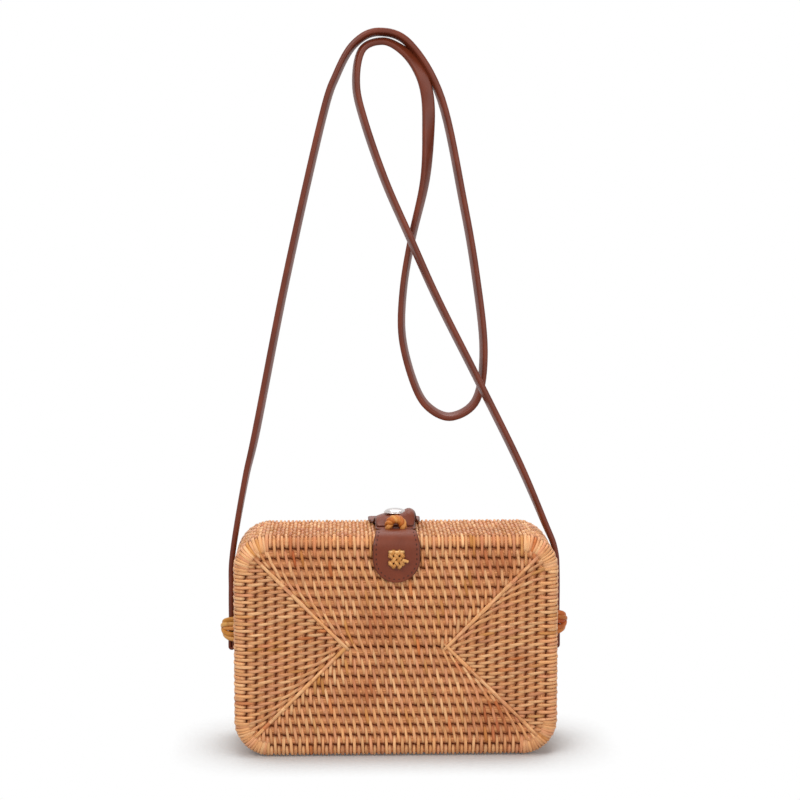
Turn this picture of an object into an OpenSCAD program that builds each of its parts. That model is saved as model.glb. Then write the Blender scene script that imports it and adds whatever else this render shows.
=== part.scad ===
// Woven rattan box bag: two hinged trays, a leather tab with a press stud, and a shoulder strap.
// Millimetres. Base centre at the origin, +Z up, the front face looks along -Y.

/* [Woven box] */
// Width across the side walls
bag_w = 200; // [184:1:220]
// Height from the base to the top wall
bag_h = 138; // [128:1:150]
// Depth from the front face to the back face
bag_d = 72; // [70:1:82]
// Corner radius of the face outline
corner_r = 22; // [20:0.5:24]
// Radius of the roll between a face and the walls
edge_r = 8; // [7.5:0.5:9]
// Thickness of the woven wall at a course
wall_t = 5; // [4.8:0.1:5.4]
// Gap between the two trays at the seam
seam_gap = 0.4; // [0.3:0.1:0.6]

/* [Weave] */
// Courses on a face from the edge roll to the centre line
face_courses = 10; // [8:1:11]
// Courses on a wall from the edge roll to the seam
wall_courses = 5; // [4:1:6]
// Depth of the valley between two courses
valley_d = 0.9; // [0.6:0.1:1.1]
// Share of a course taken by each sloping flank
flank_share = 0.28; // [0.2:0.02:0.38]
// Distance between the gaps along a course
gap_pitch = 18; // [17:0.5:24]
// Length of a gap between two strands
gap_len = 4; // [3:0.5:6]
// Width of a gap between two courses
gap_w = 1.6; // [1.2:0.1:2]
// Depth of a gap
gap_deep = 2.4; // [1.8:0.1:2.8]
// Distance between the strands over the edge roll
roll_pitch = 4.4; // [4:0.1:6]
// Width of a strand over the edge roll
roll_strand_w = 2.6; // [2.2:0.1:3]
// Depth of the edge roll between those strands
roll_sunk = 0.7; // [0.6:0.1:0.8]
// Strands over the edge roll at each corner
corner_strands = 6; // [4:1:7]
// Angle that a strand takes up at a corner
corner_strand_angle = 7; // [6:0.5:9]
// Radius of the strand that covers a mitre
mitre_r = 1.6; // [1.4:0.1:1.8]
// Height of that strand above the courses
mitre_rise = 0.6; // [0.4:0.1:0.8]

/* [Lining] */
// Thickness of the cotton lining
lining_t = 0.8; // [0.6:0.1:1]
// Gap between the lining and the woven wall
lining_gap = 0.2; // [0.1:0.05:0.3]
// Distance of the lining's hem from the seam
hem_back = 6; // [5.5:0.5:8]

/* [Hinge ties] */
// Height of the hinge line above the base
hinge_z = 4; // [3.9:0.1:4.2]
// Radius of a tie ring to the middle of its strand
tie_ring_r = 3; // [2.8:0.1:3]
// Radius of the tie strand
tie_r = 0.85; // [0.7:0.05:0.85]
// Distance of each group of ties from the middle
tie_x = 55; // [40:1:65]
// Distance between the rings of a group
tie_pitch = 3.4; // [3.2:0.1:4]
// Half angle of the relief under the hinge line
relief_angle = 58; // [56:1:62]

/* [Closing tab] */
// Thickness of the tab leather
leather_t = 2; // [1.8:0.1:2.2]
// Gap between the leather and the weave
tab_gap = 0.3; // [0.2:0.05:0.5]
// Radius of the round end on the front and back faces
tab_end_r = 14.5; // [13:0.5:16]
// Width of the front tab over the top edge
front_tab_w = 24; // [22:0.5:26]
// Width of the back tab over the top edge
back_tab_w = 33; // [31:0.5:35]
// Drop of the tab ends below the top
tab_drop = 28.5; // [27:0.5:33]
// Rise of the front tab's free end towards the press stud
tab_rise = 2; // [1.6:0.1:2.4]
// Distance of the flex line behind the seam
flex_y = 14; // [13:0.5:15]
// Distance of the press stud in front of the seam
snap_y = 3; // [2.5:0.5:4]
// Radius of the flap's round tip
flap_tip_r = 12; // [11.5:0.25:12.5]
// Half width of the lifting flap at the flex line
flap_root_hw = 15; // [14:0.5:15.5]

/* [Press stud] */
// Radius of the cap
cap_r = 7; // [6.5:0.25:7.5]
// Height of the cap's dome
cap_h = 2.8; // [2.4:0.1:3]
// Height from the front leather to the flap
snap_h = 3; // [2.8:0.1:3.2]
// Radius of the stud
stud_r = 2.4; // [2:0.1:2.5]
// Radius of the stud's flange
flange_r = 4.5; // [4.2:0.1:4.8]
// Wall of the socket ring
socket_t = 2; // [1.6:0.1:2.2]

/* [Rattan knots] */
// Radius of the strand in the plaited face knots
plait_r = 1.3; // [1.1:0.1:1.4]
// Distance between the strands of a plaited knot
plait_pitch = 3.8; // [3.4:0.1:4]
// Radius of the front arched knot to the middle of its strand
arch_r = 5.2; // [4.8:0.1:5.6]
// Radius of the strand in the arched knots
arch_strand_r = 1.5; // [1.3:0.1:1.5]
// Radius of the lower arched knot behind the flap
back_arch_r = 3.8; // [3.6:0.1:4]
// Height of the front arched knot's straight legs above the leather
arch_lift = 1.8; // [1.4:0.1:2]
// Distance of the front arched knot from the seam
front_arch_y = 20.5; // [20:0.1:21]
// Distance of the back arched knot from the seam
back_arch_y = 23.4; // [23.2:0.1:23.6]

/* [Shoulder strap] */
// Width of the strap
strap_w = 8; // [7:0.5:8.5]
// Thickness of the strap
strap_t = 3.6; // [3:0.1:3.8]
// Height of the side knots above the base
knot_z = 74; // [68:1:84]
// Distance of the strap ends behind the seam
strap_y = 12; // [11.5:0.5:13]
// Gap between the strap and the side wall
strap_gap = 1.1; // [1:0.1:1.4]
// Radius of a side knot to the middle of its strand
loop_r = 7; // [6.9:0.1:7.2]
// Radius of the strand in the side knots
loop_strand_r = 1.6; // [1.4:0.1:1.7]
// Rise of the hung strap above the side knots
strap_rise = 370; // [310:1:430]
// Depth of the strap's drape
drape_d = 10; // [9:0.5:11]

/* [Hidden] */
$fn = 48;
// One overrun for every cut
overrun = 2;
// Clearance round a strand in its hole
fit = 0.2;
// Clearance between two bodies
clear = 0.3;
half_w = bag_w / 2;
half_h = bag_h / 2;
half_d = bag_d / 2;
tray_d = half_d - seam_gap / 2;
face_pitch = (half_h - edge_r) / face_courses;
wall_pitch = (tray_d - edge_r) / wall_courses;
face_flank = face_pitch * flank_share;
wall_flank = wall_pitch * flank_share;
mitre_run = half_h - corner_r;

// Leather levels on the face and on the top
tab_y = half_d + tab_gap;
tab_z = bag_h + tab_gap;
tab_top_z = tab_z + leather_t;
tab_low_z = bag_h - tab_drop;
roll_y = half_d - edge_r;
roll_z = bag_h - edge_r;
front_tab_end = seam_gap + flange_r;
front_tip_share = 0.62;
front_tip_r = front_tab_w * front_tip_share;
stud_z = tab_top_z + tab_rise;
flap_z = stud_z + snap_h;
flap_top_z = flap_z + leather_t;
flap_flat_y = flex_y - cap_r - snap_y;
flap_back_y = flap_tip_r - snap_y - cap_r - clear;
flange_t = 0.5;
rivet_r = 1.5;
rivet_flange_r = 4;
stud_clear = 0.4;
socket_r = stud_r + stud_clear;
arch_pitch = 2 * arch_strand_r + fit / 2;
rise_from = front_arch_y - arch_pitch - arch_strand_r - fit;
rise_to = snap_y + flange_r;
plait_z = tab_low_z + tab_end_r;
plait_seat = 0.1;
plait_deep = tab_y + leather_t + plait_seat + plait_r;
plait_step_share = 0.6;
plait_step = plait_r * plait_step_share;
leg_stop = 0.5;
stitch_r = 0.45;
stitch_in = 2.1;
end_stitches = 13;
loop_pitch = 2 * loop_strand_r + fit;
loop_bulge_shares = [0, 0.6, 0.6, 0];
strap_x = half_w + strap_gap + strap_t / 2;
fold_r = 2.4;
fold_hole_r = 0.9;
fold_drop = 13;

// Strap route as shares of its reach, its depth and its rise, from the left knot to the right
route_shares = [
    [-1, 0, 0], [-1, 0, 0.06], [-0.99, 0, 0.125], [-0.91, 0, 0.25], [-0.84, -0.1, 0.335],
    [-0.655, -0.2, 0.59], [-0.435, -0.3, 0.855], [-0.345, -0.4, 0.93],
    [-0.24, -0.4, 0.98], [-0.095, -0.4, 1], [0.09, -0.4, 0.98], [0.28, -0.3, 0.89],
    [0.415, -0.1, 0.72], [0.495, 0.1, 0.595], [0.545, 0.2, 0.47], [0.505, 0.4, 0.385],
    [0.355, 0.4, 0.355], [0.215, 0.4, 0.37], [0.125, 0.4, 0.41], [0.05, 0.3, 0.49],
    [0.055, 0.2, 0.57], [0.105, 0.2, 0.655], [0.185, 0, 0.755], [0.205, -0.2, 0.845],
    [0.195, -0.3, 0.9], [0.145, -0.4, 0.94], [0.05, -0.4, 0.97], [-0.07, -0.4, 0.985],
    [-0.195, -0.5, 0.97], [-0.23, -0.7, 0.915], [-0.185, -0.8, 0.855], [-0.06, -0.9, 0.755],
    [0.09, -0.9, 0.66], [0.26, -0.9, 0.555], [0.505, -0.9, 0.42], [0.755, -0.6, 0.28],
    [0.92, -0.2, 0.175], [0.985, -0.1, 0.13], [1, 0, 0.085], [1, 0, 0]
];
route = [for (s = route_shares) [s[0] * strap_x, strap_y + s[1] * drape_d, knot_z + s[2] * strap_rise]];
ring_sides = 10;
steps = 2;

// Extrudes an outline drawn in y and z along x, centred
module along_x(len) {
    translate([-len / 2, 0, 0])
        rotate([90, 0, 90])
            linear_extrude(len)
                children();
}

// Extrudes an outline drawn in x and z along y from a start
module along_y(from_y, len) {
    translate([0, from_y + len, 0])
        rotate([90, 0, 0])
            linear_extrude(len)
                children();
}

// The other half of the bag
module turned() {
    mirror([0, 1, 0])
        children();
}

// Section of a tray wall: x runs in from the outline, y runs back from the face
module tray_section() {
    polygon(concat(
        [for (i = [0 : face_courses - 1], k = [0 : 2])
            [edge_r + i * face_pitch + [0, face_flank, face_pitch - face_flank][k], k == 0 ? valley_d : 0]],
        [[half_h, valley_d], [half_h, wall_t], [edge_r, wall_t]]));
    polygon(concat(
        [for (i = [0 : wall_courses - 1], k = [0 : 2])
            [k == 0 ? valley_d : 0, edge_r + i * wall_pitch + [0, wall_flank, wall_pitch - wall_flank][k]]],
        [[valley_d, tray_d], [wall_t, tray_d], [wall_t, edge_r]]));
    difference() {
        intersection() {
            translate([edge_r, edge_r])
                circle(edge_r - roll_sunk);
            square(edge_r);
        }
        translate([wall_t, wall_t])
            square(edge_r);
    }
}

// Section of a strand that bends over the edge roll and dives into the courses beside it
module roll_strand() {
    intersection() {
        translate([edge_r, edge_r])
            difference() {
                circle(edge_r);
                circle(edge_r - 2 * roll_sunk);
            }
        square(edge_r + roll_sunk);
    }
}

// One side of a tray with its mitred panel of the face, drawn as the upper side
module tray_side(reach, half_len) {
    inner = half_len - mitre_run;
    low = reach - corner_r - mitre_run;
    apex = inner > overrun
        ? [[inner - overrun, low - overrun], [overrun - inner, low - overrun]]
        : [[0, low]];
    intersection() {
        translate([-half_len, -half_d, reach])
            rotate([0, 90, 0])
                linear_extrude(2 * half_len)
                    tray_section();
        along_y(-half_d - overrun, half_d + 2 * overrun)
            polygon(concat(
                [[-half_len - overrun, reach - corner_r + overrun], [-half_len - overrun, reach + overrun],
                 [half_len + overrun, reach + overrun], [half_len + overrun, reach - corner_r + overrun]],
                apex));
    }
    n = floor((half_len - roll_strand_w / 2) / roll_pitch);
    for (i = [-n : n])
        translate([i * roll_pitch - roll_strand_w / 2, -half_d, reach])
            rotate([0, 90, 0])
                linear_extrude(roll_strand_w)
                    roll_strand();
}

// One round corner of a tray
module tray_corner() {
    rotate([-90, 0, 0]) {
        rotate_extrude(angle = 90)
            intersection() {
                translate([corner_r, 0])
                    mirror([1, 0])
                        tray_section();
                square([corner_r, half_d]);
            }
        for (i = [1 : corner_strands])
            rotate([0, 0, 90 * i / (corner_strands + 1) - corner_strand_angle / 2])
                rotate_extrude(angle = corner_strand_angle)
                    translate([corner_r, 0])
                        mirror([1, 0])
                            roll_strand();
    }
}

module tray_blank() {
    translate([0, 0, half_h]) {
        for (turn = [0, 180])
            rotate([0, turn, 0])
                tray_side(half_h, half_w - corner_r);
        for (turn = [90, 270])
            rotate([0, turn, 0])
                tray_side(half_w, half_h - corner_r);
        for (c = [[1, -1, 0], [-1, -1, 90], [-1, 1, 180], [1, 1, 270]])
            translate([c[0] * (half_w - corner_r), -half_d, c[1] * (half_h - corner_r)])
                rotate([0, c[2], 0])
                    tray_corner();
    }
    mitre_strands();
}

// Strands laid over the four mitres of a face, from the corners to the centre line
module mitre_strands() {
    for (sx = [-1, 1], sz = [-1, 1])
        translate([sx * (half_w - corner_r), mitre_r - mitre_rise - half_d, half_h + sz * mitre_run])
            rotate([0, -sx * (90 + sz * 45), 0])
                cylinder(h = mitre_run * sqrt(2) + mitre_r, r = mitre_r);
}

// Gaps between strands in every second valley of a face, staggered from row to row
module face_gaps() {
    translate([0, -half_d, half_h])
        for (side = [[0, half_h, half_w], [90, half_w, half_h], [180, half_h, half_w], [270, half_w, half_h]],
             row = [0 : 2 : face_courses - 1])
            let (u = edge_r + row * face_pitch,
                 shift = row % 4 == 0 ? 0 : gap_pitch / 2,
                 reach = side[2] - u - gap_len - mitre_r,
                 n = floor(reach / gap_pitch))
            for (i = [-n - 1 : n])
                if (abs(i * gap_pitch + shift) < reach)
                    rotate([0, side[0], 0])
                        translate([i * gap_pitch + shift - gap_len / 2, -overrun, side[1] - u - gap_w / 2])
                            cube([gap_len, gap_deep + overrun, gap_w]);
}

// Rings of both tie groups, or the channels they turn in
module tie_rings(side, strand) {
    for (i = [-1 : 1])
        translate([side * tie_x + i * tie_pitch, 0, hinge_z])
            rotate([0, 90, 0])
                rotate_extrude()
                    translate([tie_ring_r, 0])
                        circle(strand);
}

// Relief below the hinge line that lets a tray swing
module hinge_relief() {
    drop = hinge_z + overrun;
    along_x(bag_w)
        polygon([[overrun, hinge_z], [0, hinge_z], [-drop * tan(relief_angle), -overrun], [overrun, -overrun]]);
}

// Legs of the knots that go through leather and weave
module plait_legs(strand) {
    for (side = [-1, 1])
        translate([side * plait_pitch, -plait_deep, plait_z])
            rotate([-90, 0, 0])
                cylinder(h = plait_deep - half_d + wall_t - leg_stop, r = strand);
}

// Places and sizes of the two arched knots: distance from the seam, radius and height of the legs
front_arch = [front_arch_y, arch_r, arch_lift];
back_arch = [back_arch_y, back_arch_r, 0];

module arch_legs(arch, strand) {
    for (i = [-1 : 1], side = [-1, 1])
        translate([side * arch[1], -arch[0] + i * arch_pitch, bag_h - wall_t + leg_stop])
            cylinder(h = tab_top_z + arch[2] - bag_h + wall_t - leg_stop, r = strand);
}

module loop_legs(side, strand) {
    for (i = [0 : 3], leg = [-1, 1])
        translate([side * (half_w - wall_t + leg_stop), strap_y + leg * loop_r, loop_z(i)])
            rotate([0, side * 90, 0])
                cylinder(h = wall_t - leg_stop + strap_gap + loop_bulge_shares[i] * loop_strand_r, r = strand);
}

function loop_z(i) = knot_z + (i - (len(loop_bulge_shares) - 1) / 2) * loop_pitch;

module tray(arch) {
    difference() {
        tray_blank();
        hinge_relief();
        for (side = [-1, 1])
            tie_rings(side, tie_r + clear);
        plait_legs(plait_r + fit);
        arch_legs(arch, arch_strand_r + fit);
        face_gaps();
    }
}

module front_shell() {
    color("#C79A62")
        tray(front_arch);
}

module back_shell() {
    color("#C79A62")
        difference() {
            turned()
                tray(back_arch);
            for (side = [-1, 1])
                loop_legs(side, loop_strand_r + fit);
        }
}

// Rectangle with round corners, centred on the face
module round_panel(inset) {
    r = corner_r - inset;
    for (half = [[half_w - inset - r, half_h - inset], [half_w - inset, half_h - inset - r]])
        square(2 * half, center = true);
    for (sx = [-1, 1], sz = [-1, 1])
        translate([sx * (half_w - corner_r), sz * (half_h - corner_r)])
            circle(r);
}

module lining() {
    inset = wall_t + lining_gap;
    start = -half_d + inset;
    translate([0, 0, half_h])
        difference() {
            along_y(start, -start - hem_back)
                round_panel(inset);
            along_y(start + lining_t, -start)
                round_panel(inset + lining_t);
        }
}

module front_lining() {
    color("#E9DFC8")
        lining();
}

module back_lining() {
    color("#E9DFC8")
        turned()
            lining();
}

module hinge_tie_left() {
    color("#D9B27C")
        tie_rings(-1, tie_r);
}

module hinge_tie_right() {
    color("#D9B27C")
        tie_rings(1, tie_r);
}

// Leather bent from the face over the edge roll
module bent_strip() {
    translate([-tab_y - leather_t, tab_low_z])
        square([leather_t, roll_z - tab_low_z]);
    translate([-roll_y, roll_z])
        intersection() {
            difference() {
                circle(edge_r + tab_gap + leather_t);
                circle(edge_r + tab_gap);
            }
            translate([-bag_d, 0])
                square(bag_d);
        }
}

// Top of the front tab, rising behind the arched knot to the press stud
module raised_top() {
    low = stud_z - leather_t;
    polygon([[-roll_y, tab_z], [-rise_from, tab_z], [-rise_to, low], [front_tab_end, low],
             [front_tab_end, stud_z], [-rise_to, stud_z], [-rise_from, tab_top_z], [-roll_y, tab_top_z]]);
}

// Top of the back tab, level up to the flex line
module level_top() {
    translate([-roll_y, tab_z])
        square([roll_y - flex_y - clear, leather_t]);
}

// Outline of a tab on its face, with the round end below
module tab_outline(top_w) {
    end_z = tab_low_z + tab_end_r;
    translate([0, end_z])
        circle(tab_end_r);
    polygon([[-tab_end_r, end_z], [tab_end_r, end_z], [top_w / 2, roll_z], [top_w / 2, bag_h + bag_d],
             [-top_w / 2, bag_h + bag_d], [-top_w / 2, roll_z]]);
}

// Holes in a tab for the knots' legs and for the stitching round its end
module tab_holes(arch) {
    end_z = tab_low_z + tab_end_r;
    plait_legs(plait_r + fit);
    for (i = [-1 : 1], side = [-1, 1])
        translate([side * arch[1], -arch[0] + i * arch_pitch, bag_h - overrun])
            cylinder(h = 2 * overrun + leather_t, r = arch_strand_r + fit);
    for (i = [0 : end_stitches])
        translate([0, -tab_y - leather_t - overrun, end_z])
            rotate([0, 180 * i / end_stitches, 0])
                translate([tab_end_r - stitch_in, 0, 0])
                    rotate([-90, 0, 0])
                        cylinder(h = leather_t + 2 * overrun, r = stitch_r);
}

module front_tab() {
    color("#7A3F2E")
        difference() {
            intersection() {
                along_x(bag_w) {
                    bent_strip();
                    raised_top();
                }
                along_y(-bag_d, 2 * bag_d)
                    tab_outline(front_tab_w);
                linear_extrude(bag_h + bag_d) {
                    translate([0, front_tab_end - front_tip_r])
                        circle(front_tip_r);
                    translate([-half_w, -bag_d])
                        square([bag_w, bag_d + front_tab_end - front_tip_r]);
                }
            }
            tab_holes(front_arch);
            translate([0, -snap_y, stud_z - leather_t - overrun]) {
                cylinder(h = leather_t + 2 * overrun, r = rivet_r + fit);
                cylinder(h = flange_t + fit + overrun, r = rivet_flange_r + fit);
            }
        }
}

module back_tab_anchor() {
    color("#7A3F2E")
        turned()
            difference() {
                intersection() {
                    along_x(bag_w) {
                        bent_strip();
                        level_top();
                    }
                    along_y(-bag_d, 2 * bag_d)
                        tab_outline(back_tab_w);
                }
                tab_holes(back_arch);
            }
}

// The flap rises from the flex line to lie over the press stud
module back_tab_flap() {
    color("#7A3F2E")
        difference() {
            intersection() {
                along_x(bag_w)
                    polygon([[flex_y, tab_z], [flex_y, tab_top_z], [flap_flat_y, flap_top_z],
                             [-bag_d, flap_top_z], [-bag_d, flap_z], [flap_flat_y, flap_z]]);
                linear_extrude(bag_h + bag_d) {
                    translate([0, flap_back_y])
                        circle(flap_tip_r);
                    polygon([[-flap_tip_r, flap_back_y], [flap_tip_r, flap_back_y],
                             [flap_root_hw, flex_y + overrun], [-flap_root_hw, flex_y + overrun]]);
                }
            }
            translate([0, -snap_y, flap_z - overrun])
                cylinder(h = leather_t + 2 * overrun, r = rivet_r + fit);
        }
}

module snap_cap() {
    dome_r = (cap_r * cap_r + cap_h * cap_h) / (2 * cap_h);
    color("#C9CCD0")
        translate([0, -snap_y, flap_top_z]) {
            intersection() {
                translate([0, 0, cap_h - dome_r])
                    sphere(dome_r);
                cylinder(h = dome_r, r = cap_r + overrun);
            }
            translate([0, 0, -leather_t])
                cylinder(h = leather_t + cap_h / 2, r = rivet_r);
        }
}

module snap_socket() {
    color("#C9CCD0")
        translate([0, -snap_y, stud_z + flange_t + clear])
            difference() {
                cylinder(h = snap_h - flange_t - clear, r = socket_r + socket_t);
                translate([0, 0, -overrun])
                    cylinder(h = snap_h + 2 * overrun, r = socket_r);
            }
}

module snap_stud() {
    color("#C9CCD0")
        translate([0, -snap_y, stud_z]) {
            cylinder(h = flange_t, r = flange_r);
            cylinder(h = snap_h - clear, r = stud_r);
        }
}

module snap_post() {
    color("#C9CCD0")
        translate([0, -snap_y, stud_z - leather_t]) {
            cylinder(h = flange_t, r = rivet_flange_r);
            cylinder(h = leather_t, r = rivet_r);
        }
}

// Square knot of crossing strands on a face
module plaited_knot() {
    span = 2 * plait_pitch + 2 * plait_r;
    for (i = [-1 : 1]) {
        translate([i * plait_pitch, -plait_deep, plait_z - span / 2])
            cylinder(h = span, r = plait_r);
        translate([-span / 2, -plait_deep - plait_step, plait_z + i * plait_pitch])
            rotate([0, 90, 0])
                cylinder(h = span, r = plait_r);
    }
    plait_legs(plait_r);
}

// Arched strands over the top, side by side
module arched_knot(arch) {
    for (i = [-1 : 1])
        translate([0, -arch[0] + i * arch_pitch, tab_top_z + arch[2]])
            rotate([90, 0, 0])
                rotate_extrude(angle = 180)
                    translate([arch[1], 0])
                        circle(arch_strand_r);
    arch_legs(arch, arch_strand_r);
}

module front_knot_lower() {
    color("#DDBB82")
        plaited_knot();
}

module front_knot_upper() {
    color("#C98544")
        arched_knot(front_arch);
}

module back_knot_lower() {
    color("#DDBB82")
        turned()
            plaited_knot();
}

module back_knot_upper() {
    color("#C98544")
        turned()
            arched_knot(back_arch);
}

// Strands arched over a strap end, with their legs in the side wall
module side_knot(side) {
    for (i = [0 : 3])
        translate([side * (half_w + strap_gap + loop_bulge_shares[i] * loop_strand_r), strap_y, loop_z(i)])
            rotate([0, 0, -side * 90])
                rotate_extrude(angle = 180)
                    translate([loop_r, 0])
                        circle(loop_strand_r);
    loop_legs(side, loop_strand_r);
}

module strap_knot_left() {
    color("#CF9A55")
        side_knot(-1);
}

module strap_knot_right() {
    color("#CF9A55")
        side_knot(1);
}

// Folded end of the strap below a side knot
module strap_fold(side) {
    translate([side * strap_x, strap_y - strap_w / 2, knot_z])
        rotate([-90, 0, 0])
            linear_extrude(strap_w)
                difference() {
                    union() {
                        translate([-strap_t / 2, clear])
                            square([strap_t, fold_drop - clear]);
                        translate([0, fold_drop])
                            circle(fold_r);
                    }
                    translate([0, fold_drop])
                        circle(fold_hole_r);
                }
}

module strap_end_left() {
    color("#5A2E22")
        strap_fold(-1);
}

module strap_end_right() {
    color("#5A2E22")
        strap_fold(1);
}

// Point on the smooth curve through four route points
function curve(a, b, c, d, t) =
    b + t / 2 * ((c - a) + t * ((2 * a - 5 * b + 4 * c - d) + t * (3 * b - a - 3 * c + d)));
function unit(v) = v / norm(v);
function at(i) = route[max(0, min(len(route) - 1, i))];

// Tube of flat oval rings along the route, its width along y
module shoulder_strap() {
    last = len(route) - 1;
    line = concat(
        [for (i = [0 : last - 1], s = [0 : steps - 1]) curve(at(i - 1), at(i), at(i + 1), at(i + 2), s / steps)],
        [route[last]]);
    n = len(line);
    rings = [for (i = [0 : n - 1])
        let (run = unit(line[min(n - 1, i + 1)] - line[max(0, i - 1)]),
             across = unit([0, 1, 0] - run[1] * run),
             out = cross(run, across))
        for (k = [0 : ring_sides - 1])
            line[i] + across * (strap_w / 2 * cos(360 * k / ring_sides))
                    + out * (strap_t / 2 * sin(360 * k / ring_sides))];
    color("#5A2E22")
        polyhedron(
            points = rings,
            faces = concat(
                [[for (k = [0 : ring_sides - 1]) k]],
                [for (i = [0 : n - 2], k = [0 : ring_sides - 1], half = [0, 1])
                    let (a = i * ring_sides + k,
                         b = i * ring_sides + (k + 1) % ring_sides)
                    half == 0 ? [a, a + ring_sides, b] : [b, a + ring_sides, b + ring_sides]],
                [[for (k = [ring_sides - 1 : -1 : 0]) (n - 1) * ring_sides + k]]));
}

front_shell();
back_shell();
front_lining();
back_lining();
hinge_tie_left();
hinge_tie_right();
front_tab();
back_tab_anchor();
back_tab_flap();
snap_cap();
snap_socket();
snap_stud();
snap_post();
front_knot_lower();
front_knot_upper();
back_knot_lower();
back_knot_upper();
strap_knot_left();
strap_knot_right();
strap_end_left();
strap_end_right();
shoulder_strap();
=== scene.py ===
import math
import random
from functools import partial

import bpy
import numpy as np
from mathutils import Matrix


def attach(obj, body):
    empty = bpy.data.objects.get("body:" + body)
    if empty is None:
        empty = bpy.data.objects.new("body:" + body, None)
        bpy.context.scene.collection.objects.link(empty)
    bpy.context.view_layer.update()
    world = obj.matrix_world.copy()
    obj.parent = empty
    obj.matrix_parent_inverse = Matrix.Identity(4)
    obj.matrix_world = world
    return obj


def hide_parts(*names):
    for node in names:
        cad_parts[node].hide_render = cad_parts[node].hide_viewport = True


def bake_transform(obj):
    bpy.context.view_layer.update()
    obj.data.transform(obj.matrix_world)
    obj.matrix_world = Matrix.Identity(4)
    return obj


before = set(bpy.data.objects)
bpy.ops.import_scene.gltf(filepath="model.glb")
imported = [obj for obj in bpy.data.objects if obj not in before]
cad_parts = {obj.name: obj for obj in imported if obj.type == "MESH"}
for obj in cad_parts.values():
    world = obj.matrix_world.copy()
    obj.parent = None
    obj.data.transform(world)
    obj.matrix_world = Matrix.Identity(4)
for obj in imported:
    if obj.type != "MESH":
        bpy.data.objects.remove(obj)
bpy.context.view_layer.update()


# Core of the woven trays: bundles of thin vine laid round each face like picture frames, meeting in mitres.
# The bundles carry the plaited strands, and only show as lined, pinkish wood between them.
# One closed shell a tray, in the place of the solid tray; the front one swings on its ties.

mm = 0.001
half_w = 100.0
half_h = 69.0
half_d = 36.0
corner_r = 22.0
roll_r = 8.0
wall_thick = 5.0
seam_half = 0.2
face_courses = 10
wall_courses = 5
face_run = half_h - roll_r
wall_start = face_run + roll_r * math.pi / 2
tray_deep = half_d - seam_half
face_pitch = face_run / face_courses
wall_pitch = (tray_deep - roll_r) / wall_courses
rows = [i * face_pitch for i in range(face_courses + 1)]
rows += [wall_start + i * wall_pitch for i in range(wall_courses + 1)]
columns_across = 64
columns_down = 42
dash_tilt = 0.42
core_sunk = 0.95
core_valley = 1.6
bundle_round = 0.4
valley_shares = [0.0, 0.05, 0.12, 0.28, 0.5, 0.72, 0.88, 0.95]
tilt_shares = [1.0, 0.95, 0.7, 0.2, 0.0, 0.2, 0.7, 0.95]
corner_steps = 9
least_r = 0.3
least_flat = 0.05
slit_half = 0.3
rim_back = 0.3
rim_sunk = 0.6
rim_grain, wall_grain, floor_grain = 4.0, 36.0, 100.0
relief_z = 4.0
relief_slope = math.tan(math.radians(58.0))
bundle_wood = "#D29668"
# Painted shade: the dark brown the core takes at the bottom of the valleys between courses
valley_painted_shade = "#6A2604"
trays = {"front": -1, "back": 1}


def linear(hex_code):
    """sRGB hex to the linear colour that a shader takes"""
    shares = [int(hex_code[i:i + 2], 16) / 255 for i in (1, 3, 5)]
    return [s / 12.92 if s < 0.04045 else ((s + 0.055) / 1.055) ** 2.4 for s in shares] + [1.0]


def feed(owner, source, socket):
    """Links an output, or the first working output of a node, to a socket"""
    if isinstance(source, bpy.types.Node):
        source = next(output for output in source.outputs if output.enabled)
    owner.node_tree.links.new(source, socket)


def add_node(owner, kind, inputs=None, **settings):
    """Adds a node: each input is a value, or the node or output that feeds it.
    A Mix has its factor at 0 and its colours at 6 and 7; a MapRange goes from 1 and 2 to 3 and 4."""
    made = owner.node_tree.nodes.new("ShaderNode" + kind)
    for name, value in settings.items():
        setattr(made, name, value)
    for name, value in (inputs or {}).items():
        if isinstance(value, (bpy.types.Node, bpy.types.NodeSocket)):
            feed(owner, value, made.inputs[name])
        else:
            made.inputs[name].default_value = value
    return made


def finish_of(name, roughness, specular):
    """New material and its shader, with one roughness and one level of mirror shine"""
    material = bpy.data.materials.new(name)
    material.use_nodes = True
    shader = material.node_tree.nodes["Principled BSDF"]
    shader.inputs["Roughness"].default_value = roughness
    shader.inputs["Specular IOR Level"].default_value = specular
    return material, shader


def make_piece(name, parts, material):
    """Mesh object from parts in millimetres: points, faces, lengthwise marks and colours"""
    points = np.concatenate([p["points"] for p in parts]) * mm
    faces = []
    start = 0
    for part in parts:
        faces += [[start + v for v in face] for face in part["faces"]]
        start += len(part["points"])
    mesh = bpy.data.meshes.new(name)
    mesh.from_pydata(points.tolist(), [], faces)
    marks = np.concatenate([p["marks"] for p in parts])
    attribute = mesh.attributes.new("marks", "FLOAT_VECTOR", "POINT")
    attribute.data.foreach_set("vector", marks.astype(np.float32).ravel())
    if "colours" in parts[0]:
        colours = np.concatenate([p["colours"] for p in parts])
        attribute = mesh.color_attributes.new("tint", "FLOAT_COLOR", "POINT")
        attribute.data.foreach_set("color", colours.astype(np.float32).ravel())
    mesh.polygons.foreach_set("use_smooth", [True] * len(mesh.polygons))
    mesh.materials.append(material)
    piece = bpy.data.objects.new(name, mesh)
    bpy.context.scene.collection.objects.link(piece)
    return piece


def ring_faces(rings, count):
    """Faces of a closed tube or shell: quads from ring to ring and a cap at each end"""
    faces = [list(range(count))]
    for i in range(rings - 1):
        for k in range(count):
            a = i * count + k
            b = i * count + (k + 1) % count
            faces.append([a, a + count, b + count, b])
    faces.append([(rings - 1) * count + k for k in reversed(range(count))])
    return faces


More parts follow.
